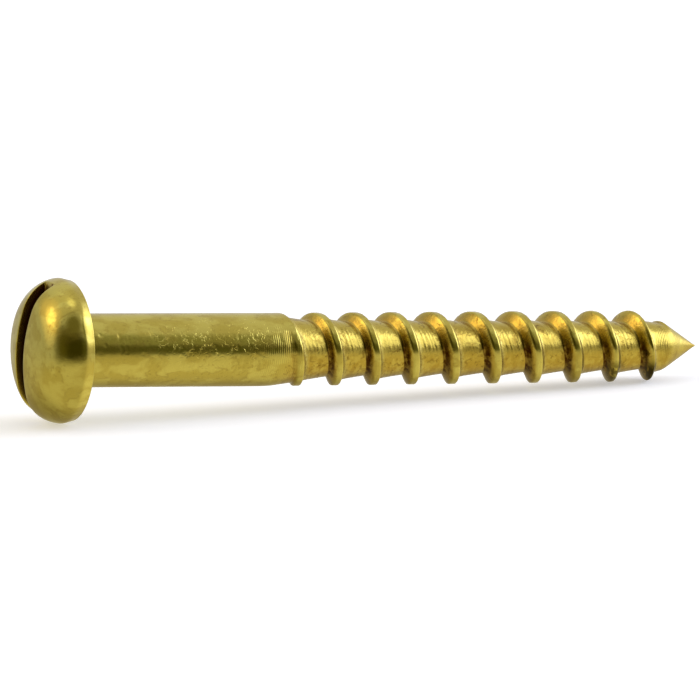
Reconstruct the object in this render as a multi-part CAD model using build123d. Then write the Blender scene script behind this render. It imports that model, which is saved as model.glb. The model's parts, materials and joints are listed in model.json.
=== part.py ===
"""Round head wood screw: a slotted brass screw with a cut thread and a cone point.

Millimetres. The screw is turned from one piece, so it is one solid. It is drawn along
+X, with the underside of its head at x = 0 and its point at x = LENGTH, and is then laid
down as it comes to rest: on the rim of its head and on the last crests of its thread.
It rolls until the end of the thread holds it, with its last crest straight below.
"""
import os
from math import asin, atan, atan2, ceil, cos, degrees, floor, pi, radians, sin, tan

from build123d import *

# Size: a number 8 screw, 1 1/2 inches long under its head
LENGTH = 38.1
SHANK_DIAMETER = 4.05

# Head: a dome of two arcs over a narrow rounded rim, flat underneath
HEAD_DIAMETER = 8.0
HEAD_HEIGHT = 2.77
SHOULDER_RADIUS = 2.2
RIM_HEIGHT = 0.33
RIM_ROUNDING = 0.14
NECK_FLARE = 0.2

# Driver slot, sawn straight across the dome
SLOT_WIDTH = 1.15
SLOT_DEPTH = 1.5
SLOT_ROLL = 6.5

# Point: a plain cone, which also takes the top off the last thread
POINT_HALF_ANGLE = 32.5

# Thread: a right-hand groove cut into the shank, so its crests are nearly as wide as the
# plain shank, taper a little to the point, and run out thinner over the last turns
PLAIN_SHANK = 11.5
LAST_CREST_DIAMETER = 4.02
PITCH = 2.42
CREST_WIDTH = 0.36
LAST_CREST_WIDTH = 0.13
THINNING_TURNS = 2.0
HEAD_SIDE_FLANK = 31.0
POINT_SIDE_FLANK = 36.0
FIRST_CREST = 13.43
FIRST_DEPTH = 0.39
LAST_DEPTH = 0.63
FLOOR_SLOPE = 7.5
RUN_IN_START = -0.37
RUN_IN_TURNS = 1.0

# The cutter: how far it stands out of the shank, and how its helix is divided
CUTTER_CLEARANCE = 0.05
SPAN_TURNS = 0.5
SPAN_POINTS = 8

SHANK_RADIUS = SHANK_DIAMETER / 2
HEAD_RADIUS = HEAD_DIAMETER / 2
LAST_CREST_RADIUS = LAST_CREST_DIAMETER / 2
LAST_CREST = LENGTH - LAST_CREST_RADIUS / tan(radians(POINT_HALF_ANGLE))
LAST_TURN = (LAST_CREST - FIRST_CREST) / PITCH


def dome():
    """Half of the head's top in profile: a wide crown that runs into a rounder shoulder."""
    height = HEAD_HEIGHT - RIM_HEIGHT
    shoulder_centre = HEAD_RADIUS - SHOULDER_RADIUS
    crown_radius = (height**2 + shoulder_centre**2 - SHOULDER_RADIUS**2) / (
        2 * (height - SHOULDER_RADIUS)
    )
    join = degrees(atan2(shoulder_centre, crown_radius - height))
    CenterArc((crown_radius - HEAD_HEIGHT, 0), crown_radius, 180 - join, join)
    CenterArc((-RIM_HEIGHT, shoulder_centre), SHOULDER_RADIUS, 90, 90 - join)


def rim():
    """The edge of the head, from its widest place down to the flat underside."""
    radius = (RIM_HEIGHT**2 + RIM_ROUNDING**2) / (2 * RIM_ROUNDING)
    turn = degrees(asin(RIM_HEIGHT / radius))
    CenterArc((-RIM_HEIGHT, HEAD_RADIUS - radius), radius, 90 - turn, turn)


def blank():
    """Head, shank and cone point as one turned piece, before any cut is made."""
    with BuildSketch(Plane.XZ) as profile:
        with BuildLine():
            dome()
            rim()
            Polyline(
                (0, HEAD_RADIUS - RIM_ROUNDING),
                (0, SHANK_RADIUS + NECK_FLARE),
                (NECK_FLARE, SHANK_RADIUS),
                (PLAIN_SHANK, SHANK_RADIUS),
                (LAST_CREST, LAST_CREST_RADIUS),
                (LENGTH, 0),
                (-HEAD_HEIGHT, 0),
            )
        make_face()
    return revolve(profile.sketch, Axis.X)


def slot_cutter():
    """The saw cut across the dome: flat-floored, and open at both ends."""
    floor_x = SLOT_DEPTH - HEAD_HEIGHT
    into_head = (Align.MAX, Align.CENTER, Align.CENTER)
    saw = Box(HEAD_HEIGHT, SLOT_WIDTH, 1.2 * HEAD_DIAMETER, align=into_head)
    return Pos(floor_x, 0, 0) * Rot(SLOT_ROLL, 0, 0) * saw


def crest_reach(turn):
    """Half the width of the crest, which thins out towards the point."""
    thinning = min(max(0.0, 1 - (LAST_TURN - turn) / THINNING_TURNS), 1.0)
    return (CREST_WIDTH - (CREST_WIDTH - LAST_CREST_WIDTH) * thinning) / 2


def groove_section(turn):
    """Corners of the groove at one place on the helix, as (distance along X, radius).

    The turns are counted from the first crest, straight down. The section goes from the
    crest on the head side to the crest on the point side, over a floor that slopes down
    to the point side.
    """
    depth = FIRST_DEPTH + (LAST_DEPTH - FIRST_DEPTH) * turn / LAST_TURN
    slope = tan(radians(FLOOR_SLOPE))
    point_side = tan(radians(POINT_SIDE_FLANK))
    head_side = tan(radians(HEAD_SIDE_FLANK))
    first_edge = FIRST_CREST + (turn - 1) * PITCH + crest_reach(turn - 1)
    last_edge = FIRST_CREST + turn * PITCH - crest_reach(turn)
    half_gap = (last_edge - first_edge) / 2
    shallow = (depth - slope * half_gap) / (1 - slope * point_side)
    deep = (depth + slope * half_gap) / (1 + slope * head_side)

    # Over the run-in the cutter sinks from just clear of the shank to its full depth.
    lift = deep * max(0.0, 1 - (turn - RUN_IN_START) / RUN_IN_TURNS)
    outside = SHANK_RADIUS + CUTTER_CLEARANCE + lift / 2
    start = first_edge + shallow * point_side
    end = last_edge - deep * head_side
    floor_start = SHANK_RADIUS - shallow + lift
    floor_end = SHANK_RADIUS - deep + lift
    return [
        (start - (outside - floor_start) * point_side, outside),
        (start, floor_start),
        (end, floor_end),
        (end + (outside - floor_end) * head_side, outside),
    ]


def groove_corners(turn):
    """The same four corners where they stand on the helix: straight down at whole turns."""
    angle = 2 * pi * turn - pi / 2
    return [(x, r * cos(angle), r * sin(angle)) for x, r in groove_section(turn)]


def groove_cutter():
    """The solid that the thread cutter sweeps: a tapering groove wound as a helix.

    Its floor, two flanks and outside are ruled faces between the paths of the section's
    corners, made a span of the helix at a time, and two flat sections close its ends.
    """
    first_turn = RUN_IN_START - 0.05
    spans = ceil(((LENGTH - FIRST_CREST) / PITCH + 0.5 - first_turn) / SPAN_TURNS)
    faces = []
    for span in range(spans):
        start = first_turn + span * SPAN_TURNS
        turns = [start + SPAN_TURNS * i / SPAN_POINTS for i in range(SPAN_POINTS + 1)]
        paths = zip(*[groove_corners(turn) for turn in turns])
        edges = [Edge.make_spline(path, parameters=turns) for path in paths]
        faces += [Face.make_surface_from_curves(edges[i - 1], edges[i]) for i in range(4)]
    for turn in (first_turn, first_turn + spans * SPAN_TURNS):
        faces.append(Face(Wire.make_polygon(groove_corners(turn), close=True)))
    return Solid(Shell(faces))


def lay_down(part):
    """Turn the screw onto its rim and the last crest straight below, and set it at z = 0."""
    support = FIRST_CREST + floor(LAST_TURN) * PITCH + crest_reach(floor(LAST_TURN))
    tilt = degrees(atan((HEAD_RADIUS - LAST_CREST_RADIUS) / (support + RIM_HEIGHT)))
    part = Rot(0, tilt, 0) * part
    box = part.bounding_box()
    return Pos(-box.center().X, -box.center().Y, -box.min.Z) * part


screw = lay_down(blank() - slot_cutter() - groove_cutter())
screw.label = "screw"

os.makedirs("parts", exist_ok=True)
export_step(screw, "parts/screw.step")
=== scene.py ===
# %% [markdown]
# # A round head brass wood screw
#
# This lesson dresses a CAD model of a slotted wood screw. The CAD solid has the right
# sizes but a plain skin. Here the screw gets the skin of the real one: worn edges, lines
# left by the cutter, nicks from handling, and brass that has begun to tarnish.
#
# Blender works in metres, in the same frame as that model, so nothing has to be fitted
# by eye. The screw's own sizes are kept in millimetres, as on a maker's drawing, and are
# turned into metres at the very end.

# %% Load the frame
import json
from math import asin, atan2, cos, degrees, pi, radians, sin, sqrt, tan

import bmesh
import bpy
import numpy as np
from mathutils import Matrix, Vector


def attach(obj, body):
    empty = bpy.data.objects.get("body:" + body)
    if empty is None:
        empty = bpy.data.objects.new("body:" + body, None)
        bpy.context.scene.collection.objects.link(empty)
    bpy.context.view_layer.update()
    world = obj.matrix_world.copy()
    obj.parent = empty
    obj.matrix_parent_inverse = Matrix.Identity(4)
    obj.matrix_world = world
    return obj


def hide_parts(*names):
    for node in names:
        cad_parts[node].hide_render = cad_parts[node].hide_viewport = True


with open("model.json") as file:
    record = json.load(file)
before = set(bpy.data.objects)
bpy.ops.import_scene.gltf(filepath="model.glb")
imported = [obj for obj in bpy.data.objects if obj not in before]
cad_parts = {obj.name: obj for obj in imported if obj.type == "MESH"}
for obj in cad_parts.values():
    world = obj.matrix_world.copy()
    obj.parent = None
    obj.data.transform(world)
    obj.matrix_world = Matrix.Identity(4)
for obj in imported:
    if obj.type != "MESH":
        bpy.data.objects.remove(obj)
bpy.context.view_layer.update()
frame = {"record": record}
scene = bpy.context.scene

# %% [markdown]
# ## Where the screw lies
#
# The screw rests on the rim of its head and on its last crests, so its axis dips a little
# to the point. The record's head_seat mount gives the middle of the head's flat underside
# and the direction of the axis. The screw is drawn along its own axis in millimetres, and
# one matrix then lays it down. That is how it is on the bench too: it is turned straight
# in the lathe and falls into the tray afterwards.

# %% Take the axis from the record
MM = 0.001
mounts = {mount["name"]: mount for mount in frame["record"]["mounts"]}
seat = Vector(mounts["head_seat"]["pos_m"])
axis = Vector(mounts["head_seat"]["axis"]).normalized()
across_axis = Vector((0, 1, 0))
lay_down = Matrix((axis, across_axis, axis.cross(across_axis))).transposed()
print("The axis dips", round(degrees(asin(-axis.z)), 2), "degrees")

# %% [markdown]
# ## Sizes
#
# These are the driving sizes of the turned blank and of the cuts made in it. A distance
# along the screw is counted from the underside of the head, so the head lies at negative
# distances. A flank or a slope is kept as a tangent, because that is how it is used. The
# point side of each crest is cut a little steeper here than in the solid, as a worn cutter
# leaves it.

# %% Sizes of the blank and its cuts, in millimetres
LENGTH = 38.1
SHANK_RADIUS = 2.025
HEAD_RADIUS = 4.0
HEAD_HEIGHT = 2.77
SHOULDER_RADIUS = 2.2
RIM_HEIGHT = 0.33
RIM_ROUNDING = 0.14
NECK_FLARE = 0.2
SLOT_HALF = 0.575
SLOT_DEPTH = 1.5
SLOT_ROLL = radians(6.5)
POINT_SLOPE = tan(radians(32.5))
PLAIN_SHANK = 11.5
LAST_CREST_RADIUS = 2.01
LAST_CREST = LENGTH - LAST_CREST_RADIUS / POINT_SLOPE

PITCH = 2.42
CREST_WIDTH = 0.36
HEAD_SIDE = tan(radians(31))
POINT_SIDE = tan(radians(27))
FIRST_CREST = 13.43
FIRST_DEPTH = 0.39
LAST_DEPTH = 0.63
FLOOR_SLOPE = tan(radians(7.5))
RUN_IN_START = -0.37
RUN_IN_TURNS = 1.0
print("The crests end", round(LAST_CREST, 2), "mm from the head")

# %% [markdown]
# ## The camera
#
# A long lens from far away keeps the screw's outline nearly parallel, which is how small
# hardware is usually shown. It looks a little down, and from the head's side, so that the
# dome and the slot turn towards it.

# %% Set up the camera
VIEW_AZIMUTH = radians(-21.84)
VIEW_ELEVATION = radians(9.03)
VIEW_ROLL = radians(-0.18)
VIEW_DISTANCE = 0.4558
VIEW_WIDTH = 0.0382
AIM_RIGHT = 0.01536
AIM_UP = -0.000106

back = Vector((
    sin(VIEW_AZIMUTH) * cos(VIEW_ELEVATION),
    -cos(VIEW_AZIMUTH) * cos(VIEW_ELEVATION),
    sin(VIEW_ELEVATION),
))
right = Vector((cos(VIEW_AZIMUTH), sin(VIEW_AZIMUTH), 0))
stand = seat + back * VIEW_DISTANCE
aim = seat + right * AIM_RIGHT + back.cross(right) * AIM_UP - stand
camera = bpy.data.objects.new("camera", bpy.data.cameras.new("camera"))
scene.collection.objects.link(camera)
camera.matrix_world = (
    Matrix.Translation(stand)
    @ aim.to_track_quat("-Z", "Y").to_matrix().to_4x4()
    @ Matrix.Rotation(VIEW_ROLL, 4, "Z")
)
camera.data.sensor_width = 36
camera.data.lens = camera.data.sensor_width * VIEW_DISTANCE / VIEW_WIDTH
camera.data.clip_start = 0.01
camera.data.clip_end = 20
scene.camera = camera
scene.view_settings.view_transform = "Standard"
print("Lens:", round(camera.data.lens), "mm")

# %% [markdown]
# ## A small language for shaders
#
# Shader maths is easier to read as arithmetic than as a web of nodes. This class wraps one
# output socket. Adding or multiplying two of them adds a Math node, and one method makes
# every other kind of node. Colours and vectors don't go through Math nodes, because those
# keep only one number: they have helpers of their own below the class.

# %% Wrap a socket
class Wire:
    """One output of a shader node, which can be used in ordinary arithmetic."""

    tree = None

    def __init__(self, socket):
        self.socket = socket

    @classmethod
    def node(cls, kind, settings=None, inputs=None, output=0):
        """Add a node: its settings first, then the values or links of its sockets."""
        node = cls.tree.nodes.new("ShaderNode" + kind)
        for name, value in (settings or {}).items():
            setattr(node, name, value)
        for name, value in (inputs or {}).items():
            if isinstance(value, Wire):
                cls.tree.links.new(value.socket, node.inputs[name])
            else:
                node.inputs[name].default_value = value
        return cls(node.outputs[output]) if len(node.outputs) else None

    @classmethod
    def math(cls, operation, *values):
        """A Math node on wires and plain numbers."""
        return cls.node("Math", {"operation": operation}, dict(enumerate(values)))

    def __add__(self, other):
        return self.math("ADD", self, other)

    def __sub__(self, other):
        return self.math("SUBTRACT", self, other)

    def __rsub__(self, other):
        return self.math("SUBTRACT", other, self)

    def __mul__(self, other):
        return self.math("MULTIPLY", self, other)

    def __truediv__(self, other):
        return self.math("DIVIDE", self, other)

    def __rtruediv__(self, other):
        return self.math("DIVIDE", other, self)

    __radd__ = __add__
    __rmul__ = __mul__

    def ramp(self, low, high, bottom=0.0, top=1.0):
        """A smooth step: bottom up to low, top from high on."""
        limits = {"From Min": low, "From Max": high, "To Min": bottom, "To Max": top}
        return self.node(
            "MapRange", {"interpolation_type": "SMOOTHSTEP"}, {"Value": self, **limits}
        )


def mix(amount, first, second):
    """A colour between two colours."""
    first, second = [
        colour if isinstance(colour, Wire) else (*colour, 1.0) for colour in (first, second)
    ]
    return Wire.node(
        "Mix", {"data_type": "RGBA"}, {"Factor": amount, 6: first, 7: second}, output=2
    )


def glow(colour, strength):
    """A colour of light as strong as a wire says."""
    return Wire.node("VectorMath", {"operation": "SCALE"}, {0: colour, "Scale": strength})


def together(first, second):
    """Two lights added up."""
    return Wire.node("VectorMath", {"operation": "ADD"}, {0: first, 1: second})


print("Wires are ready")

# %% [markdown]
# ## Light
#
# Polished brass has hardly any colour of its own to show: it shows what stands round it.
# So the light matters as much as the metal. The room here is a soft pale one. It is dark
# behind the camera, where a person and a tripod would stand, and that draws the dark
# stripe along the shank and the dark patch on the dome that make them look round. A window
# on the right gives the bright edge of the head and the bright bands in the thread. A warm
# lamp on the left and a small one overhead give the spots on the dome. Below the horizon
# the metal sees the table, which is duller on the far side.
#
# All of these could be area lamps and cards. Here they are painted on the world as soft
# round patches, because a world lights and reflects without noise, and each patch can be
# moved by its two angles alone.

# %% Helpers for painting the room
world = bpy.data.worlds.new("studio")
scene.world = world
world.use_nodes = True
Wire.tree = world.node_tree
Wire.tree.nodes.clear()
gaze = Wire.node("TexCoord", output="Generated")


def heading(azimuth, elevation):
    """A direction: azimuth to the right of the camera's, and elevation, in degrees."""
    azimuth, elevation = radians(azimuth) + VIEW_AZIMUTH, radians(elevation)
    return (sin(azimuth) * cos(elevation), -cos(azimuth) * cos(elevation), sin(elevation))


def patch(azimuth, elevation, inner, outer):
    """A soft round patch of the room: 1 within the inner angle, 0 outside the outer one."""
    facing = Wire.node(
        "VectorMath",
        {"operation": "DOT_PRODUCT"},
        {0: gaze, 1: heading(azimuth, elevation)},
        output="Value",
    )
    return facing.ramp(cos(radians(outer)), cos(radians(inner)))


# %% [markdown]
# Dark places are laid over the pale room one after another, and then the table. Lamps are
# added instead, because light adds up: where two of them meet it is brighter than either.
# Whoever looks straight past the screw sees a plain pale backdrop and none of this.

# %% Paint the room
ROOM = (0.53, 0.52, 0.50)
TABLE = (0.68, 0.63, 0.46)
TABLE_EDGE = -0.34
BACKDROP = (0.97, 0.97, 0.97)
# Each place or lamp: azimuth, elevation, inner and outer angle in degrees, and colour
DARK_PLACES = [
    (-30, 12, 8, 42, (0.10, 0.09, 0.02)),
    (7, 5, 18, 42, (0.045, 0.041, 0.004)),
    (40, 9, 6, 25, (0.10, 0.10, 0.03)),
    (-2, 48, 9, 27, (0.17, 0.155, 0.07)),
    (54, 36, 5, 22, (0.26, 0.26, 0.15)),
]
FAR_TABLE = (-150, -45, 10, 48)
FAR_TABLE_COLOUR = (0.38, 0.34, 0.22)
LAMPS = [
    (-82, 35, 5, 17, (1.50, 1.22, 0.75)),
    (-86, 34, 10, 34, (0.55, 0.40, 0.22)),
    (0, 88, 2, 11, (0.75, 0.75, 0.75)),
    (85, 27, 15, 26, (1.22, 1.27, 1.60)),
    (107, 25, 14, 27, (1.50, 1.60, 2.30)),
    (125, 8, 5, 32, (0.35, 0.35, 0.35)),
    (95, -30, 10, 50, (0.28, 0.27, 0.25)),
    (-80, 72, 5, 34, (0.20, 0.20, 0.19)),
    (158, 45, 10, 76, (0.20, 0.20, 0.20)),
    (52, 55, 0, 10, (0.20, 0.20, 0.18)),
]
room = ROOM
for azimuth, elevation, inner, outer, shade in DARK_PLACES:
    room = mix(patch(azimuth, elevation, inner, outer), room, shade)
height = Wire.node("SeparateXYZ", inputs={0: gaze}, output="Z")
room = mix(height.ramp(TABLE_EDGE, 0.0), TABLE, room)
room = mix(patch(*FAR_TABLE), room, FAR_TABLE_COLOUR)
for azimuth, elevation, inner, outer, shine in LAMPS:
    room = together(room, glow(shine, patch(azimuth, elevation, inner, outer)))
seen = Wire.node("LightPath", output="Is Camera Ray")
sky = Wire.node("Background", inputs={"Color": mix(seen, room, BACKDROP)})
Wire.node("OutputWorld", inputs={"Surface": sky})
print("Dark places:", len(DARK_PLACES), "lamps:", len(LAMPS))

# %% [markdown]
# ## The table
#
# A plain pale surface under the screw takes its soft shadow. It glows a little, as white
# card does under a bright sky, so that it comes out as pale as the backdrop without more
# lamps. The screw's metal sees the painted table of the room instead of this one, which
# keeps the reflections on its underside soft.

# %% Lay the table
TABLE_REACH = 1.5
table_mesh = bpy.data.meshes.new("table")
table_corners = [(-1, -1), (1, -1), (1, 1), (-1, 1)]
table_mesh.from_pydata(
    [(x * TABLE_REACH, y * TABLE_REACH, 0) for x, y in table_corners], [], [(0, 1, 2, 3)]
)
table = bpy.data.objects.new("table", table_mesh)
scene.collection.objects.link(table)
table.visible_glossy = False
paper = bpy.data.materials.new("pale_paper")
paper.use_nodes = True
Wire.tree = paper.node_tree
card = paper.node_tree.nodes["Principled BSDF"]
card.inputs["Base Color"].default_value = (0.84, 0.85, 0.88, 1)
card.inputs["Roughness"].default_value = 0.9
card.inputs["Specular IOR Level"].default_value = 0.1
card.inputs["Emission Color"].default_value = (1, 1, 1, 1)
card.inputs["Emission Strength"].default_value = 0.42
table_mesh.materials.append(paper)
print("The table is", 2 * TABLE_REACH, "m across")

# %% [markdown]
# ## How the skin is made
#
# A screw could be made by twisting a profile with the Screw modifier, or by cutting a
# cylinder with booleans. Both leave stretched or broken faces where the thread runs out
# of the shank and where the slot meets the dome. So the skin is laid out as a lathe hand
# and a saw would see it: rows of points that follow each cut, on the same columns all the
# way from the head to the point. Where a cut hasn't begun yet, its rows lie on one
# another and are merged at the end.
#
# The columns stand round the axis. They are counted from the slot's upper end, because
# the slot's two walls have to fall exactly on columns. The saw doesn't run quite through
# the middle of the head, and its set has opened the far wall a little.

# %% Columns round the screw
SLOT_OFFSET = 0.29
SAW_SET = 0.05
SLOT_COLUMNS = 6
NEAR_COLUMNS = 31
FAR_COLUMNS = 27
near_wall, far_wall = SLOT_OFFSET - SLOT_HALF, SLOT_OFFSET + SLOT_HALF + SAW_SET
near_angle, far_angle = asin(near_wall / HEAD_RADIUS), asin(far_wall / HEAD_RADIUS)
slice_angle = np.concatenate([
    np.linspace(-pi / 2, near_angle, NEAR_COLUMNS + 1),
    np.linspace(near_angle, far_angle, SLOT_COLUMNS + 1)[1:],
    np.linspace(far_angle, pi / 2, FAR_COLUMNS + 1)[1:],
])
from_slot = np.concatenate([slice_angle, pi - slice_angle[1:-1]])
around = pi / 2 + SLOT_ROLL - from_slot
turn_part = np.sort(((around + pi / 2) / (2 * pi)) % 1.0)
column_angle = 2 * pi * turn_part - pi / 2
COLUMNS = len(column_angle)
print(COLUMNS, "columns")

# %% [markdown]
# Each stretch of the skin is a grid of points with faces between them. This small store
# keeps the grids, and for each point four marks from 0 to 1 that the finish needs later:
# in the groove, at the root of a crest on its head side, on the torn edge of its point
# side, and in the driver slot.

# %% A store for the grids
MARKS = ("groove", "root", "torn", "slot")
grids = []


def faces_between(number):
    """The faces of a grid, from its table of point numbers."""
    corners = [number[:-1, :-1], number[1:, :-1], number[1:, 1:], number[:-1, 1:]]
    return np.stack(corners, axis=-1).reshape(-1, 4)


def add_grid(points, closed=False, groove=0.0, root=0.0, torn=0.0, slot=0.0):
    """Keep a grid, rows by columns. A closed one joins its last column to its first."""
    rows, columns = points.shape[:2]
    number = np.arange(rows * columns).reshape(rows, columns)
    if closed:
        number = np.concatenate([number, number[:, :1]], axis=1)
    marks = [np.broadcast_to(mark, (rows, columns)) for mark in (groove, root, torn, slot)]
    marks = np.stack(marks, axis=-1).reshape(-1, len(MARKS))
    grids.append((points.reshape(-1, 3), faces_between(number), marks))


def round_the_axis(distance, radius, angle):
    """Points at a distance along the screw, a radius and an angle."""
    distance, radius, angle = np.broadcast_arrays(distance, radius, angle)
    return np.stack([distance, radius * np.cos(angle), radius * np.sin(angle)], axis=-1)


print("Ready for", COLUMNS, "columns")

# %% [markdown]
# ## The head
#
# A round head is a dome of two arcs: a wide crown, and a rounder shoulder that drops to
# the rim. The rim itself is rolled in a little, which gives the head the bright edge that
# such screws show beside the dark patch. On the real screw a disc saw cuts the slot
# straight across the dome. A mesh of rings would be crossed by the slot at every angle.
# Here the head is sliced the way the saw runs: each column is one slice parallel to the
# slot's walls, so that two of the slices are the walls themselves.

# %% The dome's profile
dome_height = HEAD_HEIGHT - RIM_HEIGHT
shoulder_centre = HEAD_RADIUS - SHOULDER_RADIUS
crown_radius = (dome_height**2 + shoulder_centre**2 - SHOULDER_RADIUS**2) / (
    2 * (dome_height - SHOULDER_RADIUS)
)
join_radius = shoulder_centre * crown_radius / (crown_radius - SHOULDER_RADIUS)
BELOW_RIM_SLOPE = 4
ROLL = 0.06
ROLL_HEIGHT = 0.32
HALVINGS = 50


def dome_rise(radius):
    """Height of the dome above its rim, at a radius. Beyond the rim it falls away."""
    crown = dome_height - crown_radius + np.sqrt(np.maximum(crown_radius**2 - radius**2, 0))
    drop = SHOULDER_RADIUS**2 - (radius - shoulder_centre) ** 2
    beyond = np.maximum(radius - HEAD_RADIUS, 0)
    shoulder = np.sqrt(np.maximum(drop, 0)) - BELOW_RIM_SLOPE * beyond
    return np.where(radius < join_radius, crown, shoulder)


def rolled_in(rise):
    """How far the head's edge is rolled in, at a height above the rim."""
    return ROLL * np.clip(1 - rise / ROLL_HEIGHT, 0, 1) ** 1.5


def reach_dome(across, climb):
    """How far a ray goes before it leaves the dome: it climbs at an angle, in one slice."""
    across, climb = np.broadcast_arrays(across, climb)
    near, far = np.zeros(across.shape), np.full(across.shape, 1.5 * HEAD_RADIUS)
    for _ in range(HALVINGS):
        middle = (near + far) / 2
        radius = np.hypot(middle * np.cos(climb), across)
        outside = middle * np.sin(climb) > dome_rise(radius)
        near, far = np.where(outside, near, middle), np.where(outside, middle, far)
    return far


print("The crown's radius is", round(crown_radius, 2), "mm")

# %% [markdown]
# A slice goes over the head from rim to rim. Beside the slot it simply follows the dome.
# In the slot it comes up to where the floor runs out and then follows the floor, or a line
# on one of the walls. Near the run-out all of these lie on one another, and the walls open
# from nothing. The slot's edge is eased by a few slices on a small quarter circle, because
# a sawn edge that has met screwdrivers is never quite sharp.

# %% Slices through the head
SLOT_EDGE = 0.035
EDGE_ANGLES = (90, 60, 30, 0)
EASED_FROM = 0.2
RUN_OUT_ROWS = 12
DOME_ROWS = 34
WALL_PARTS = (0.0, 0.25, 0.5, 0.75)
FLOOR_TRIES = 60
floor_rise = HEAD_HEIGHT - SLOT_DEPTH - RIM_HEIGHT
floor_reach = float(reach_dome(0.0, 0.0))
for _ in range(FLOOR_TRIES):
    floor_reach = float(reach_dome(0.0, atan2(floor_rise, floor_reach)))
    floor_reach = sqrt(max(floor_reach**2 - floor_rise**2, 0))


def slice_points(place, wall=None, offset=0.0, drop=0.0, part=None):
    """One slice over the head, from the rim at one end of the slot to the rim at the other.

    A slice beside the slot or on its edge belongs to a wall and has no part. On a wall the
    part goes from 0 at the floor to 1 at the edge, and a slice of the floor has no wall.
    """
    edge = place if wall is None else wall
    run_out = atan2(floor_rise, sqrt(floor_reach**2 - edge**2))
    climb = np.concatenate([
        np.linspace(0, run_out, RUN_OUT_ROWS + 1)[:-1],
        np.linspace(run_out, pi / 2, DOME_ROWS + 1),
    ])
    climb = np.concatenate([climb, pi - climb[-2::-1]])
    on_floor = floor_rise / np.maximum(np.sin(climb), 1e-9)
    wall_height = np.maximum(reach_dome(edge, climb) - on_floor, 0)
    fade = np.clip(wall_height / EASED_FROM, 0, 1)
    across = place + offset * fade
    length = reach_dome(across, climb)
    if part is None:
        length = length - drop * fade
    else:
        bottom = np.minimum(on_floor, length)
        top = length - SLOT_EDGE * fade
        length = bottom + part * np.maximum(top - bottom, 0) * (wall_height > 0)
    lengthwise = length * np.cos(climb)
    off_middle = np.maximum(np.hypot(across, lengthwise), 1)
    inward = 1 - rolled_in(length * np.sin(climb)) / off_middle
    across, lengthwise = across * inward, lengthwise * inward
    y = across * cos(SLOT_ROLL) - lengthwise * sin(SLOT_ROLL)
    z = across * sin(SLOT_ROLL) + lengthwise * cos(SLOT_ROLL)
    inside = (wall_height > 0) * (part is not None)
    return np.stack([-RIM_HEIGHT - length * np.sin(climb), y, z], axis=-1), inside


places = HEAD_RADIUS * np.sin(slice_angle)
edge_steps = [
    (SLOT_EDGE * (1 - cos(radians(a))), SLOT_EDGE * (1 - sin(radians(a))))
    for a in EDGE_ANGLES
]
slices = [slice_points(place, near_wall) for place in places[:NEAR_COLUMNS]]
slices += [slice_points(near_wall, near_wall, -out, down) for out, down in edge_steps]
slices += [slice_points(near_wall, near_wall, part=part) for part in WALL_PARTS[::-1]]
floor_places = places[NEAR_COLUMNS + 1:][:SLOT_COLUMNS - 1]
slices += [slice_points(place, part=0.0) for place in floor_places]
slices += [slice_points(far_wall, far_wall, part=part) for part in WALL_PARTS]
slices += [slice_points(far_wall, far_wall, out, down) for out, down in edge_steps[::-1]]
slices += [slice_points(place, far_wall) for place in places[-FAR_COLUMNS:]]
add_grid(
    np.stack([points for points, _ in slices], axis=1),
    slot=np.stack([inside for _, inside in slices], axis=1),
)
print(len(slices), "slices through the head")

# %% [markdown]
# ## Rim, underside, neck and plain shank
#
# These are plain turning, so they are rings. The rim goes on rolling in down to the flat
# underside, and a small flare joins that to the shank. The profile is given as pairs of a
# distance and a radius, which is how a lathe hand would read it off a drawing.

# %% Rings from the rim to the thread
NECK_END = 0.3
SHANK_END = 10.2
SHANK_RINGS = 150
UNDERSIDE_RINGS = 7
bevel = (0, 0.10, 0.20, 0.32, 0.48, 0.66, 0.84)
fall = (0, 0.10, 0.20, 0.33, 0.50, 0.68, 0.86)
profile = []
for part, down in zip(bevel, fall):
    down = ROLL + (RIM_ROUNDING - ROLL) * down
    profile.append((-RIM_HEIGHT * (1 - part), HEAD_RADIUS - down))
underside_edge = HEAD_RADIUS - RIM_ROUNDING
neck = SHANK_RADIUS + NECK_FLARE
profile.append((-0.02, underside_edge + 0.008))
for radius in np.linspace(underside_edge - 0.02, neck + 0.06, UNDERSIDE_RINGS):
    profile.append((0.0, radius))
profile += [
    (0.02, neck - 0.03),
    (0.07, SHANK_RADIUS + 0.10),
    (0.14, SHANK_RADIUS + 0.04),
    (0.22, SHANK_RADIUS + 0.008),
]
for distance in np.linspace(NECK_END, SHANK_END, SHANK_RINGS + 1):
    profile.append((distance, SHANK_RADIUS))
profile = np.array(profile)
print(len(profile), "rings from rim to thread")

# %% [markdown]
# The shank is where the screw was handled and tumbled with others, so it has many small
# nicks: short shallow dents that lie in all directions. They could be left to the finish,
# but the dark stripe along the shank shows each of them, so they are dents in the mesh.

# %% Nick the shank
NICKS = 300
NICKED_STRETCH = (0.4, 12.5)
NICK_LENGTHS = (0.06, 0.22)
NICK_WIDTHS = (0.04, 0.07)
NICK_DEPTHS = (0.003, 0.018)
NICKS_FADE_IN = 0.1
random = np.random.default_rng(8)
nick_place = random.uniform(*NICKED_STRETCH, NICKS)
nick_angle = random.uniform(0, 2 * pi, NICKS)
nick_lean = random.uniform(0, pi, NICKS)
nick_length = random.uniform(*NICK_LENGTHS, NICKS)
nick_width = random.uniform(*NICK_WIDTHS, NICKS)
nick_depth = random.uniform(*NICK_DEPTHS, NICKS)


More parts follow.
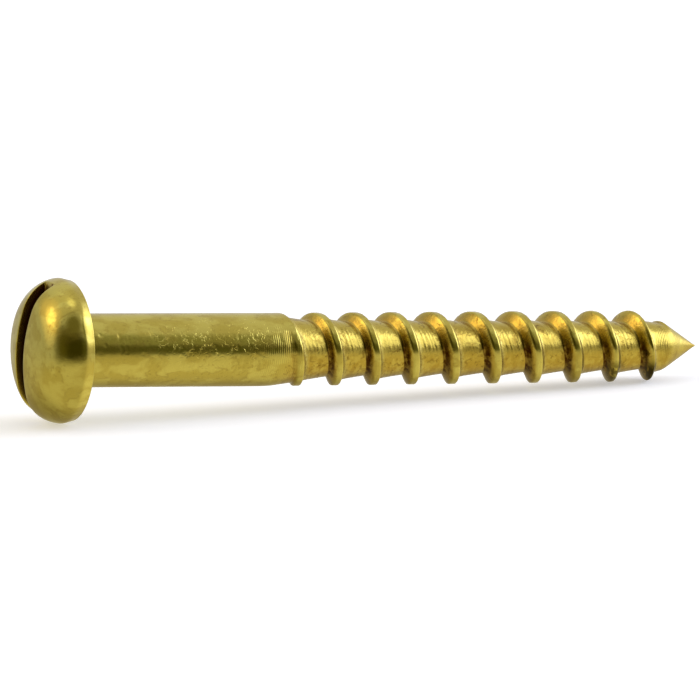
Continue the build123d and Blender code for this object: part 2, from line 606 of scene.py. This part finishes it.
def nicks(distance, angle):
    """How deep the handling marks are at a place on the shank."""
    depth = np.zeros(np.broadcast(distance, angle).shape)
    marks = zip(nick_place, nick_angle, nick_lean, nick_length, nick_width, nick_depth)
    for place, turn, lean, length, width, most in marks:
        round_by = SHANK_RADIUS * ((angle - turn + pi) % (2 * pi) - pi)
        lengthwise = (distance - place) * cos(lean) + round_by * sin(lean)
        across = round_by * cos(lean) - (distance - place) * sin(lean)
        depth += most * np.exp(-((lengthwise / length) ** 2 + (across / width) ** 2))
    return depth


distance, radius = profile[:, 0][:, None], profile[:, 1][:, None]
on_shank = np.clip((distance - NECK_END) / NICKS_FADE_IN, 0, 1)
radius = radius - on_shank * nicks(distance, column_angle[None, :])
shank_end_radius = radius[-1]
add_grid(round_the_axis(distance, radius, column_angle[None, :]), closed=True)
print(NICKS, "nicks, the deepest", round(float(nick_depth.max()), 3), "mm")

# %% [markdown]
# ## The thread
#
# The thread of a wood screw is one groove, cut into the shank and wound round it. The
# metal left between its turns is the crest. The grid has one row of points for each line
# of the groove's section, from the middle of one crest to the middle of the next, and the
# rows wind round the screw with the groove. After one turn a row runs into the start of
# the same line one pitch further on.
#
# The Screw modifier could wind one section, but here the groove grows deeper towards the
# point, runs in out of the plain shank, and its crests thin out at the end, so each place
# has its own section. All of its corners are a little soft, as a cutter leaves them.

# %% The groove's section
CREST_STEPS = 3
FLANK_STEPS = 6
FLOOR_STEPS = 26
SECTION_ROWS = 2 * CREST_STEPS + 2 * FLANK_STEPS + FLOOR_STEPS
LAST_CREST_WIDTH = 0.13
THINNING_TURNS = 2.0
CONE_SOFTNESS = 0.05
last_turn = (LAST_CREST - FIRST_CREST) / PITCH


def soft_min(first, second, softness):
    """The smaller of two numbers, with a rounded corner where they cross."""
    return (first + second - np.sqrt((first - second) ** 2 + softness**2)) / 2


def blank_radius(distance):
    """Radius of the turned blank before the thread is cut."""
    taper = (distance - PLAIN_SHANK) / (LAST_CREST - PLAIN_SHANK)
    shank = SHANK_RADIUS - (SHANK_RADIUS - LAST_CREST_RADIUS) * np.clip(taper, 0, None)
    cone = np.maximum(LENGTH - distance, 0) * POINT_SLOPE
    return soft_min(shank, cone, CONE_SOFTNESS)


def half_crest(turn):
    """Half the width of a crest, which runs out thinner over the last turns."""
    thinning = np.clip(1 - (last_turn - turn) / THINNING_TURNS, 0, 1)
    return (CREST_WIDTH - (CREST_WIDTH - LAST_CREST_WIDTH) * thinning) / 2


def groove(turn):
    """The groove's corners after a number of turns, from the first crest straight down."""
    depth = FIRST_DEPTH + (LAST_DEPTH - FIRST_DEPTH) * turn / last_turn
    half_gap = (PITCH - half_crest(turn - 1) - half_crest(turn)) / 2
    shallow = (depth - FLOOR_SLOPE * half_gap) / (1 - FLOOR_SLOPE * POINT_SIDE)
    deep = (depth + FLOOR_SLOPE * half_gap) / (1 + FLOOR_SLOPE * HEAD_SIDE)
    lift = deep * np.maximum(0, 1 - (turn - RUN_IN_START) / RUN_IN_TURNS)
    return shallow, deep, lift


def section_rows(turn):
    """Where the section's rows stand after a number of turns, from crest to crest."""
    shallow, deep, lift = groove(turn)
    before, after = half_crest(turn - 1), half_crest(turn)
    anchors = [
        0 * turn, before, before + shallow * POINT_SIDE,
        PITCH - after - deep * HEAD_SIDE, PITCH - after, PITCH + 0 * turn,
    ]
    steps = [CREST_STEPS, FLANK_STEPS, FLOOR_STEPS, FLANK_STEPS, CREST_STEPS]
    rows = []
    for first, last, count in zip(anchors, anchors[1:], steps):
        rows += [first + (last - first) * step / count for step in range(count)]
    return rows


print(SECTION_ROWS, "rows from crest to crest")

# %% [markdown]
# The rows are wound first. The crests of the real thread aren't evenly spaced: they wander
# a little to and fro, as on a worn lead screw. The first rows are pressed together at the
# end of the plain shank and the last ones at the start of the point, so that both ends of
# the winding are plain rings.

# %% Wind the groove
WANDER = 0.141
WANDER_TURNS = 7
WANDER_START = -0.44
POINT_START = 36.9
first_pitch = int(np.floor((SHANK_END - FIRST_CREST) / PITCH)) - 1
last_pitch = int(np.ceil((POINT_START - FIRST_CREST) / PITCH)) + 1
offsets, turns = [], []
for pitch in range(first_pitch, last_pitch + 1):
    turn = pitch + 1 + turn_part
    offsets += section_rows(turn)
    turns += [turn] * SECTION_ROWS
turns, offsets = np.array(turns), np.array(offsets)
drawn = FIRST_CREST + (turns - 1) * PITCH + offsets
swing = np.cos(2 * pi * ((drawn - FIRST_CREST) / PITCH - WANDER_START) / WANDER_TURNS)
distance = np.clip(drawn + WANDER * swing, SHANK_END, POINT_START)
print("The groove is wound over", last_pitch - first_pitch + 1, "turns")

# %% [markdown]
# Then each place gets its radius. The floor of the groove carries a few fine lines from
# the cutter. Waves that don't fit one another are added up, so that no two lines are
# alike: each has a number of lines across the floor, a height, and a drift per turn.

# %% Cut the groove
FLOOR_WAVES = ((6.3, 1.0, 0), (4.1, 0.6, 3), (9.3, 0.7, -5))
LINE_DEPTH = 0.0035
LINE_SWELL = 9
ROOT_SOFTNESS = 0.05
POINT_SIDE_SOFTNESS = 0.07
CREST_SOFTNESS = 0.035
WORN_CREST_SOFTNESS = 0.05
WORN_FROM_TURN = 6
WORN_OVER_TURNS = 3


def cutter_lines(turn, part):
    """How much the cutter's lines raise the floor of the groove, at a part of its width."""
    waves = sum(
        height * np.cos(2 * pi * count * part + drift * turn)
        for count, height, drift in FLOOR_WAVES
    )
    return LINE_DEPTH * waves * np.sin(pi * part) * (0.6 + 0.4 * np.sin(LINE_SWELL * turn))


def thread_radius(turn, offset, distance):
    """Radius of the threaded part, at a place between two crests."""
    shallow, deep, lift = groove(turn)
    before, after = half_crest(turn - 1), half_crest(turn)
    point_flank = SHANK_RADIUS - (offset - before) / POINT_SIDE
    head_flank = SHANK_RADIUS - (PITCH - after - offset) / HEAD_SIDE
    floor_start = before + shallow * POINT_SIDE
    floor_end = PITCH - after - deep * HEAD_SIDE
    part = np.clip((offset - floor_start) / (floor_end - floor_start), 0, 1)
    floor = SHANK_RADIUS - shallow - (deep - shallow) * part + lift
    floor = floor + cutter_lines(turn, part)
    flanks = np.maximum(point_flank, head_flank)
    softness = ROOT_SOFTNESS + POINT_SIDE_SOFTNESS * (offset < PITCH / 2)
    cut = -soft_min(-flanks, -floor, softness)
    blank = blank_radius(distance)
    worn = np.clip((turn - WORN_FROM_TURN) / WORN_OVER_TURNS, 0, 1)
    radius = soft_min(blank, cut, CREST_SOFTNESS + WORN_CREST_SOFTNESS * worn)
    return radius, blank - radius


radius, depth = thread_radius(turns, offsets, distance)
print("The groove is", round(float(depth.max()), 2), "mm deep at most")

# %% [markdown]
# A cutter pushes up a small ragged burr along both edges of a crest, more on the point
# side. The burrs come from a few more waves, and only where metal has been cut. The tops
# of the crests have the same nicks as the shank, because they were the shank's skin. At
# its two ends the grid then takes the radius of the rings that it meets.

# %% Raise the burrs and nick the crests
BURR = 0.012
BURR_WIDTH = 0.05
HEAD_SIDE_BURR = 0.7
CUT_FROM_TURN, CUT_OVER_TURNS = 0.6, 0.5
NO_BURR_BEFORE_CONE = 0.3
LAND_DEPTH = 0.05
RAGGED_WAVES = ((23, 0.3), (31, 1.9), (47, 4.0), (71, 2.2))
past_crest = offsets - half_crest(turns - 1)
before_crest = PITCH - half_crest(turns) - offsets
ragged = sum(np.sin((2 * pi * waves + drift) * turns) for waves, drift in RAGGED_WAVES)
edge = np.exp(-((past_crest / BURR_WIDTH) ** 2))
edge += HEAD_SIDE_BURR * np.exp(-((before_crest / BURR_WIDTH) ** 2))
cut_metal = np.clip((turns - CUT_FROM_TURN) / CUT_OVER_TURNS, 0, 1)
cut_metal = cut_metal * (distance < LAST_CREST - NO_BURR_BEFORE_CONE)
radius = radius + BURR * edge * cut_metal * np.clip(ragged / 2 - 0.1, 0, 1)
land = np.clip(1 - depth / LAND_DEPTH, 0, 1)
radius = radius - land * nicks(distance, column_angle[None, :])
radius = np.where(distance <= SHANK_END, shank_end_radius, radius)
radius = np.where(distance >= POINT_START, (LENGTH - POINT_START) * POINT_SLOPE, radius)
print("The crests reach", round(float(radius.max()), 3), "mm from the axis")

# %% [markdown]
# The marks for the finish come from the same numbers. A place is in the groove as soon as
# it lies a little below the blank. The root's mark is strongest in the corner on the head
# side of a crest and reaches further up the flank than over the floor. The torn mark lies
# on the flank just past the crest. The cone of the point is turned metal too and has most
# of the groove's mark.

# %% Mark the groove and close it into a grid
CUT_DEPTH, FULL_DEPTH = 0.12, 0.3
CONE_MARK, CONE_MARK_START = 0.7, LAST_CREST + 0.1
ROOT_ON_FLOOR, ROOT_UP_FLANK = 0.08, 0.26
TORN_MIDDLE, TORN_WIDTH = 0.14, 0.18
on_cone = CONE_MARK * (distance > CONE_MARK_START)
cut_in = np.maximum(np.clip(depth / CUT_DEPTH, 0, 1), on_cone)
full = np.clip(depth / FULL_DEPTH, 0, 1)
up_flank = groove(turns)[1] * HEAD_SIDE - before_crest
root_width = np.where(up_flank < 0, ROOT_ON_FLOOR, ROOT_UP_FLANK)
root = full * np.exp(-((up_flank / root_width) ** 2))
torn = full * np.exp(-(((past_crest - TORN_MIDDLE) / TORN_WIDTH) ** 2))
marks = np.stack([cut_in, root, torn, 0 * root], axis=-1).reshape(-1, len(MARKS))

rows, columns = distance.shape
number = np.arange(rows * columns).reshape(rows, columns)
one_turn_on = np.concatenate([number[SECTION_ROWS:, :1], np.full((SECTION_ROWS, 1), -1)])
faces = faces_between(np.concatenate([number, one_turn_on], axis=1))
faces = faces[(faces >= 0).all(axis=1)]
points = round_the_axis(distance, radius, column_angle)
grids.append((points.reshape(-1, 3), faces, marks))
print("The thread has", len(faces), "faces before merging")

# %% [markdown]
# ## The point
#
# The point is a plain cone, turned before the thread is cut. The very tip is a little
# blunt, because a turning tool always leaves a small pip there.

# %% Rings of the point
TIP_BLUNT = 0.06
POINT_RINGS = 26
reach_left = np.linspace(LENGTH - POINT_START, 0, POINT_RINGS + 1)
distance = LENGTH - reach_left
radius = np.maximum(reach_left * POINT_SLOPE, TIP_BLUNT)
radius[-1] = 0
add_grid(
    round_the_axis(distance[:, None], radius[:, None], column_angle[None, :]),
    closed=True,
    groove=CONE_MARK,
)
print(POINT_RINGS, "rings on the point")

# %% [markdown]
# ## One closed skin
#
# The grids are put into one mesh and the points that share a place are merged. Faces that
# have shrunk to a line by that are left out.

# %% Join the grids
SAME_PLACE = 0.0004
start = 0
all_points, all_faces, all_marks = [], [], []
for points, faces, marks in grids:
    all_points.append(points)
    all_faces.append(faces + start)
    all_marks.append(marks)
    start += len(points)
all_points, all_faces = np.concatenate(all_points), np.concatenate(all_faces)
key = np.round(all_points / SAME_PLACE).astype(np.int64)
_, first, same = np.unique(key, axis=0, return_index=True, return_inverse=True)
kept_faces = []
for face in same.reshape(-1)[all_faces]:
    corners = [corner for i, corner in enumerate(face) if corner != face[i - 1]]
    if len(set(corners)) == len(corners) > 2:
        kept_faces.append(corners)
straight = all_points[first]
kept_marks = np.concatenate(all_marks)[first]
print(len(all_points), "points merged to", len(straight))

# %% [markdown]
# So far the screw is perfectly straight, and a real one never is. Its head leans a little,
# where the heading die let go of it, and its threaded end is bent up a hair. Both are done
# here by moving points, and the whole screw is then tipped so that it still rests on the
# rim of its head and on its last whole crest.

# %% Bend the screw and lay it down
HEAD_LEAN = radians(1.2)
LEAN_END = 0.6
BEND = radians(0.26)
BEND_START = 12.0
support = FIRST_CREST + int(last_turn) * PITCH
settle = atan2((support - BEND_START) * tan(BEND), support + RIM_HEIGHT)


def tip(points, angle):
    """Turn points about the crosswise line through the seat; the head's top leans back."""
    x, y, z = points.T
    cosine, sine = np.cos(angle), np.sin(angle)
    return np.stack([x * cosine - z * sine, y, x * sine + z * cosine], axis=1)


crooked = tip(straight, HEAD_LEAN * np.clip(1 - straight[:, 0] / LEAN_END, 0, 1))
crooked[:, 2] += np.clip(straight[:, 0] - BEND_START, 0, None) * tan(BEND)
crooked = tip(crooked, -settle)
laid_down = (crooked * MM) @ np.array(lay_down.transposed()) + np.array(seat)
print("The bent screw is tipped by", round(degrees(settle), 3), "degrees")

# %% [markdown]
# The mesh keeps the marks, and the place of each point on the straight screw, as
# attributes. The finish is worked out from those, so it stays on the metal wherever the
# screw is moved. The skin has to be closed, like the skin of the solid: every edge has
# exactly two faces.

# %% Make the mesh
MERGE_DISTANCE = 2e-7
skin = bpy.data.meshes.new("brass_skin")
skin.from_pydata(laid_down.tolist(), [], kept_faces)
for name, values in zip(MARKS, kept_marks.T):
    skin.attributes.new(name, "FLOAT", "POINT").data.foreach_set("value", values)
straight_place = skin.attributes.new("turned", "FLOAT_VECTOR", "POINT")
straight_place.data.foreach_set("vector", straight.astype(np.float32).ravel())
closed_skin = bmesh.new()
closed_skin.from_mesh(skin)
bmesh.ops.remove_doubles(closed_skin, verts=closed_skin.verts, dist=MERGE_DISTANCE)
bmesh.ops.recalc_face_normals(closed_skin, faces=closed_skin.faces)
open_edges = sum(not line.is_manifold for line in closed_skin.edges)
closed_skin.to_mesh(skin)
closed_skin.free()
skin.shade_smooth()
screw = bpy.data.objects.new("brass_screw", skin)
scene.collection.objects.link(screw)
print("Open edges:", open_edges)
print("Triangles:", sum(len(face.vertices) - 2 for face in skin.polygons))

# %% [markdown]
# ## Brass
#
# New brass is a clear pale yellow. This screw has been handled and has then lain about, so
# its plain skin is clean but a little uneven, and the cut metal of the thread has begun to
# go brown, most of all in the corners, where dirt sits. That could be painted by hand on
# an unwrapped image. Here every pattern is worked out from the place of a point on the
# straight screw and from the four marks in the mesh, because that leaves no seams and
# follows the cuts exactly. The shader is metal all over: only its colour, its roughness
# and its fine relief vary.
# Some of the colour is painted shade and painted light, as the patterns below say.

# %% Helpers for the brass
brass = bpy.data.materials.new("tarnished_brass")
brass.use_nodes = True
Wire.tree = brass.node_tree
metal = brass.node_tree.nodes["Principled BSDF"]
metal.inputs["Metallic"].default_value = 1.0


def mark(name, output="Fac"):
    """One of the attributes of the mesh."""
    return Wire.node("Attribute", {"attribute_name": name}, output=output)


def stretched(vector, factors):
    """A vector with each of its three parts made longer or shorter."""
    return Wire.node("VectorMath", {"operation": "MULTIPLY"}, {0: vector, 1: factors})


def cloud(size, detail=3.0, roughness=0.5, stretch=(1, 1, 1)):
    """Soft noise from 0 to 1 on the straight screw, with blots of about a size in mm."""
    return Wire.node(
        "TexNoise",
        inputs={
            "Vector": stretched(place, stretch),
            "Scale": 1 / size,
            "Detail": detail,
            "Roughness": roughness,
        },
    )


def between(begin, full, fade, end):
    """1 on a stretch of the screw, 0 before and behind it, in mm from under the head."""
    return along.ramp(begin, full) - along.ramp(fade, end)


in_groove, at_root, torn_edge, in_slot = [mark(name) for name in MARKS]
place = mark("turned", "Vector")
along = Wire.node("SeparateXYZ", inputs={0: place}, output="X")
upward = Wire.node("SeparateXYZ", inputs={0: place}, output="Z")
off_axis = stretched(place, (0, 1, 1))
from_axis = Wire.node("VectorMath", {"operation": "LENGTH"}, {0: off_axis}, output="Value")
print("Marks in the mesh:", *MARKS)

# %% [markdown]
# The patterns come first. Wide soft blots part the cleaner skin from the duller, and a
# thin rind follows their edges, as where a drop has dried. Specks of grime sit in loose
# groups, more of them in the groove than on the shank. The root on the head side of each
# crest holds the oldest dirt. Where that is thin the root is painted a warmer orange, a
# painted reflection of the light that bounces between the flank and the floor. The torn
# edge on the point side shows flecks of bright metal, and all of it is painted a little
# lighter too, which is painted light on a flank that faces the next crest.
#
# Some patterns also depend on how far up a place lies, and these are painted shade: the
# groove is browner and darker towards its bottom, its lowest line is darker still, and the
# undersides of the crests near the point, where the screw rests on the table, are dark. The
# old dirt is thinner on top and at the very bottom. The groove is also browner over the
# middle of the thread.

# %% Patterns, painted shade and painted light on the brass
THREAD_MIDDLE = (19.0, 24.0, 27.0, 31.0)
LAST_TEETH = (28.5, 34.2, 35.3, 35.6)
blotch = cloud(0.8, 2.0, 0.5, (0.6, 1, 1))
rind = blotch.ramp(0.48, 0.525) - blotch.ramp(0.525, 0.58)
rind = rind * cloud(0.8).ramp(0.45, 0.62)
group = cloud(1.8, 2.0).ramp(0.42, 0.58)
grime = cloud(0.20, 3.0, 0.65).ramp(0.55, 0.66) * group
grime = grime * (0.35 + in_groove) * along.ramp(34.0, 35.0, 1.0, 0.2)
# painted reflection: the roots are painted warmer, for light bouncing between flank and
# floor
painted_bounce = at_root * cloud(0.5, 2.0).ramp(0.38, 0.58, 0.3, 1.0)
old = at_root.ramp(0.1, 0.65) * cloud(0.35, 3.0, 0.6).ramp(0.35, 0.60, 0.6, 1.0)
old = old * upward.ramp(0.0, 1.2, 1.0, 0.2) * upward.ramp(-1.6, -1.0, 0.25, 1.0)
bare = cloud(0.16, 2.0, 0.6).ramp(0.42, 0.54) * cloud(1.1).ramp(0.40, 0.55)
# bright metal flecks on the torn edge, and painted light all along it
flecks_and_painted_light = torn_edge * (0.3 + bare * 0.7)

patches = cloud(0.45, 3.0, 0.6).ramp(0.40, 0.58, 0.35, 1.0)
# painted shade: the groove goes browner and darker towards its bottom
low_side_shade = patches * upward.ramp(-0.9, 0.5, 1.0, 0.0)
aged = between(*THREAD_MIDDLE) * in_groove * cloud(0.7).ramp(0.35, 0.60)
# painted shade: the lowest line of the groove, which faces the table, is darkened
shade_below = (upward / from_axis).ramp(-0.99, -0.86, 1.0, 0.0) * in_groove
# painted shade: the undersides of the crests near the point, where the screw rests on the
# table, are painted dark
crest_undersides = from_axis.ramp(1.42, 1.62) * upward.ramp(-1.1, -0.3, 1.0, 0.0)
shade_under_last_crests = between(*LAST_TEETH) * crest_undersides * cloud(0.4, 3.0, 0.6).ramp(0.28, 0.50)
print("Patterns use", len(brass.node_tree.nodes), "nodes")

# %% [markdown]
# The colours lie over one another in the order in which they came on the real screw:
# clean brass, then the fresh cut of the thread, then stains, dirt, and last what has
# rubbed off or settled later. Among them lie painted shade on the low side of the groove
# and under the last crests, a painted warm reflection in the roots, and painted light on
# the torn edges. Each layer has a pattern, a strength and a colour.

# %% Colour
CLEAN = (0.64, 0.54, 0.12)
DULL = (0.54, 0.43, 0.08)
CUT = (0.57, 0.44, 0.08)
# This brown is tarnish on the middle of the thread and on the point, and painted shade on
# the low side of the groove
BROWN_TARNISH_AND_SHADE = (0.42, 0.28, 0.035)
# This brown is real stain and grime, and also painted shade on the lowest line of the
# groove
STAIN_AND_SHADE = (0.25, 0.15, 0.018)
# a painted warm reflection in the roots
PAINTED_BOUNCE_COLOUR = (0.62, 0.42, 0.07)
OLD = (0.07, 0.025, 0.002)
# bright torn metal, also used as painted light on the torn flank
TORN_AND_PAINTED_LIGHT = (0.72, 0.62, 0.18)
# painted shade under the last crests
SHADE_UNDER_CRESTS = (0.045, 0.032, 0.004)
SLOT = (0.14, 0.05, 0.006)
layers = [
    # the cut of the thread, with painted shade towards its bottom
    (in_groove, 1.0, mix(low_side_shade, CUT, BROWN_TARNISH_AND_SHADE)),
    (aged, 0.55, BROWN_TARNISH_AND_SHADE),
    (rind, 0.2 + in_groove * 0.4, STAIN_AND_SHADE),
    (grime, 0.7, STAIN_AND_SHADE),
    # painted warm reflection in the roots
    (painted_bounce, 1.0, PAINTED_BOUNCE_COLOUR),
    (old, 1.0, OLD),
    # bright flecks and painted light on the torn edge
    (flecks_and_painted_light, 1.0, TORN_AND_PAINTED_LIGHT),
    # painted shade under the last crests
    (shade_under_last_crests, 1.0, SHADE_UNDER_CRESTS),
    # painted shade on the lowest line of the groove
    (shade_below, 0.75, STAIN_AND_SHADE),
    (along.ramp(36.9, 38.0), 0.6, BROWN_TARNISH_AND_SHADE),
    (in_slot, 1.0, SLOT),
]
colour = mix(blotch.ramp(0.38, 0.62), CLEAN, DULL)
for pattern, strength, shade in layers:
    colour = mix(pattern * strength, colour, shade)
print(len(layers), "layers of colour over the clean brass")

# %% [markdown]
# Clean turned brass is close to a mirror, and stains make it a little duller. The torn
# edges and the sawn slot are rough. The facing cut under the head and the cone of the
# point were turned more coarsely than the shank, and they scatter a little more light.

# %% Roughness
UNDER_HEAD = (-0.05, -0.01, 0.15, 0.4)
rougher = [
    (rind + grime, 0.07),
    (at_root, 0.06),
    (torn_edge, 0.5),
    (in_slot, 0.35),
    (between(*UNDER_HEAD), 0.18),
    (along.ramp(34.9, 35.6), 0.08),
]
rough = blotch.ramp(0.42, 0.60, 0.14, 0.19)
for pattern, strength in rougher:
    rough = rough + pattern * strength
print(len(rougher), "patterns make the brass rougher")

# %% [markdown]
# The finest relief is too small for the mesh. The whole skin is faintly uneven. The half
# of the shank that is nearer to the thread has hairline scratches and tiny dents from
# handling. The cutter has chattered in the groove, and the turning tool has left rings
# where the thread runs in and on the cone. A scratch is drawn where a stretched noise
# crosses its middle value, which gives fine wandering lines.

# %% Fine relief
HANDLED = (2.5, 6.5, 10.0, 12.0)
RUN_IN = (10.0, 11.5, 12.8, 13.4)
RINGS_RADIANS_PER_MM = 52
scratch = Wire.math("ABSOLUTE", cloud(0.40, 2.0, 0.5, (1.0, 1.4, 1.4)) - 0.5)
scratch = scratch.ramp(0.0, 0.025, 1.0, 0.0) * cloud(0.40, 1.0).ramp(0.50, 0.62)
dent = cloud(0.16, 1.0).ramp(0.58, 0.72)
chatter = cloud(0.22, 3.0, 0.6) * in_groove
rings = Wire.math("SINE", along * RINGS_RADIANS_PER_MM + cloud(0.6) * 5)
rings = rings * cloud(0.5).ramp(0.35, 0.65) * (between(*RUN_IN) + along.ramp(34.8, 35.4))
relief = cloud(0.35, 2.0) * 0.3 - (scratch * 0.25 + dent * 0.15) * between(*HANDLED)
relief = relief + chatter * 0.7 + rings * 0.15
bump = Wire.node("Bump", inputs={"Height": relief, "Strength": 0.7, "Distance": 0.00003})
for socket, wire in (("Base Color", colour), ("Roughness", rough), ("Normal", bump)):
    brass.node_tree.links.new(wire.socket, metal.inputs[socket])
skin.materials.append(brass)
print("Brass has", len(brass.node_tree.nodes), "nodes")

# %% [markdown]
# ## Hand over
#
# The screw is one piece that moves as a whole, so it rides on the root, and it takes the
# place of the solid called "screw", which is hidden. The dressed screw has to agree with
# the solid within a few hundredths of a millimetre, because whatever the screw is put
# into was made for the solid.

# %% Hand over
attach(screw, "root")
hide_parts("screw")
bpy.context.view_layer.update()
